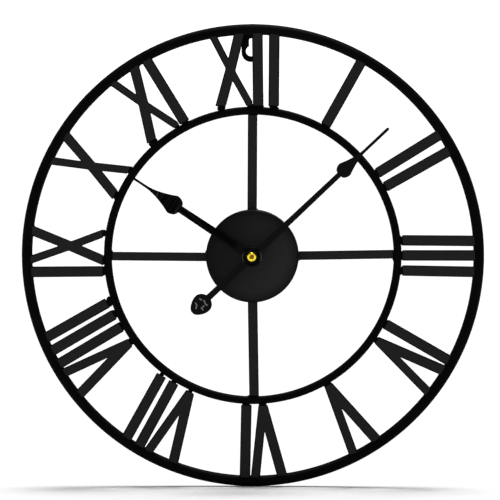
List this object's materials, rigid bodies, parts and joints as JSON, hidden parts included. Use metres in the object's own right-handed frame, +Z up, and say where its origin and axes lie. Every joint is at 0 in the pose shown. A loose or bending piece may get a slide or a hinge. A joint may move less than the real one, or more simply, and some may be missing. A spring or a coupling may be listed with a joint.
{
  "type": "wall clock",
  "caption": "Round open-frame metal wall clock with Roman numerals between two rings, spokes, a domed hub, spade hands and a quartz movement.",
  "frame": {"origin": "the round end of the hanger's slot, on the wall, where the wall screw carries the clock; the dial's centre is 186 mm below it and 1.5 mm to its right", "axes": "+Z up, +X to the right seen from the front, +Y into the wall, so the face looks along -Y"},
  "size_m": [0.4, 0.032, 0.4],
  "materials": {
    "frame_black": "satin",
    "numeral_grey": "matte",
    "hub_black": "satin",
    "hand_black": "satin",
    "brass": "polished",
    "rubber": "matte",
    "case_plastic": "satin",
    "gear_plastic": "satin",
    "steel": "satin",
    "copper": "satin",
    "board_green": "satin",
    "battery_jacket": "gloss"
  },
  "bodies": {
    "frame": {"outer_ring": "frame_black", "inner_ring": "frame_black", "keyhole_hanger": "frame_black", "spoke_top": "numeral_grey", "spoke_right": "numeral_grey", "spoke_bottom": "numeral_grey", "spoke_left": "numeral_grey", "numeral_i_i": "numeral_grey", "numeral_ii_i_1": "numeral_grey", "numeral_ii_i_2": "numeral_grey", "numeral_iii_i_1": "numeral_grey", "numeral_iii_i_2": "numeral_grey", "numeral_iii_i_3": "numeral_grey", "numeral_iv_i": "numeral_grey", "numeral_iv_v": "numeral_grey", "numeral_v_v": "numeral_grey", "numeral_vi_v": "numeral_grey", "numeral_vi_i": "numeral_grey", "numeral_vii_v": "numeral_grey", "numeral_vii_i_1": "numeral_grey", "numeral_vii_i_2": "numeral_grey", "numeral_viii_v": "numeral_grey", "numeral_viii_i_1": "numeral_grey", "numeral_viii_i_2": "numeral_grey", "numeral_viii_i_3": "numeral_grey", "numeral_ix_i": "numeral_grey", "numeral_ix_x": "numeral_grey", "numeral_x_x": "numeral_grey", "numeral_xi_x": "numeral_grey", "numeral_xi_i": "numeral_grey", "numeral_xii_x": "numeral_grey", "numeral_xii_i_1": "numeral_grey", "numeral_xii_i_2": "numeral_grey", "hub_dish": "hub_black", "fixing_washer": "brass", "hex_nut": "brass", "rubber_washer": "rubber", "movement_front_case": "case_plastic", "movement_rear_cover": "case_plastic", "stator": "steel", "coil_core": "steel", "quartz_crystal": "steel", "battery_contact_positive": "steel", "battery_contact_negative": "steel", "motor_coil": "copper", "circuit_board": "board_green"},
    "minute_train": {"minute_hand": "hand_black", "hand_nut": "brass", "minute_arbor": "brass"},
    "hour_train": {"hour_hand": "hand_black", "hour_wheel": "gear_plastic"},
    "motion_wheel": {"motion_wheel": "gear_plastic"},
    "setting_knob": {"setting_knob": "gear_plastic"},
    "centre_wheel": {"centre_wheel": "gear_plastic"},
    "third_wheel": {"third_wheel": "gear_plastic"},
    "second_wheel": {"second_wheel": "gear_plastic"},
    "step_wheel": {"step_wheel": "gear_plastic"},
    "rotor": {"rotor": "steel"},
    "battery": {"battery": "battery_jacket"}
  },
  "joints": [
    {"name": "minute_turn", "type": "hinge", "parent": "frame", "child": "minute_train", "pos_m": [0.0015, 0, -0.186], "axis": [0, 1, 0], "continuous": true},
    {"name": "hour_turn", "type": "hinge", "parent": "frame", "child": "hour_train", "pos_m": [0.0015, 0, -0.186], "axis": [0, 1, 0], "continuous": true},
    {"name": "motion_turn", "type": "hinge", "parent": "frame", "child": "motion_wheel", "pos_m": [0.00839, 0, -0.18021], "axis": [0, 1, 0], "continuous": true},
    {"name": "knob_turn", "type": "hinge", "parent": "frame", "child": "setting_knob", "pos_m": [0.01289, 0, -0.17242], "axis": [0, 1, 0], "continuous": true},
    {"name": "rotor_turn", "type": "hinge", "parent": "frame", "child": "rotor", "pos_m": [0.01287, 0, -0.1891], "axis": [0, 1, 0], "continuous": true},
    {"name": "step_turn", "type": "hinge", "parent": "frame", "child": "step_wheel", "pos_m": [0.00687, 0, -0.1891], "axis": [0, 1, 0], "continuous": true},
    {"name": "second_turn", "type": "hinge", "parent": "frame", "child": "second_wheel", "pos_m": [0.0015, 0, -0.186], "axis": [0, 1, 0], "continuous": true},
    {"name": "third_turn", "type": "hinge", "parent": "frame", "child": "third_wheel", "pos_m": [-0.00629, 0, -0.1815], "axis": [0, 1, 0], "continuous": true},
    {"name": "centre_turn", "type": "hinge", "parent": "frame", "child": "centre_wheel", "pos_m": [0.0015, 0, -0.186], "axis": [0, 1, 0], "continuous": true},
    {"name": "battery_slide", "type": "slide", "parent": "frame", "child": "battery", "axis": [0, 1, 0], "range_m": [0, 0.02]}
  ],
  "couplings": [
    {"joint": "hour_turn", "follows": "minute_turn", "ratio": 0.083333},
    {"joint": "motion_turn", "follows": "minute_turn", "ratio": -0.33333},
    {"joint": "knob_turn", "follows": "minute_turn", "ratio": 1},
    {"joint": "step_turn", "follows": "rotor_turn", "ratio": -0.16667},
    {"joint": "second_turn", "follows": "rotor_turn", "ratio": 0.033333},
    {"joint": "third_turn", "follows": "rotor_turn", "ratio": -0.0041667},
    {"joint": "centre_turn", "follows": "rotor_turn", "ratio": 0.00055556}
  ]
}
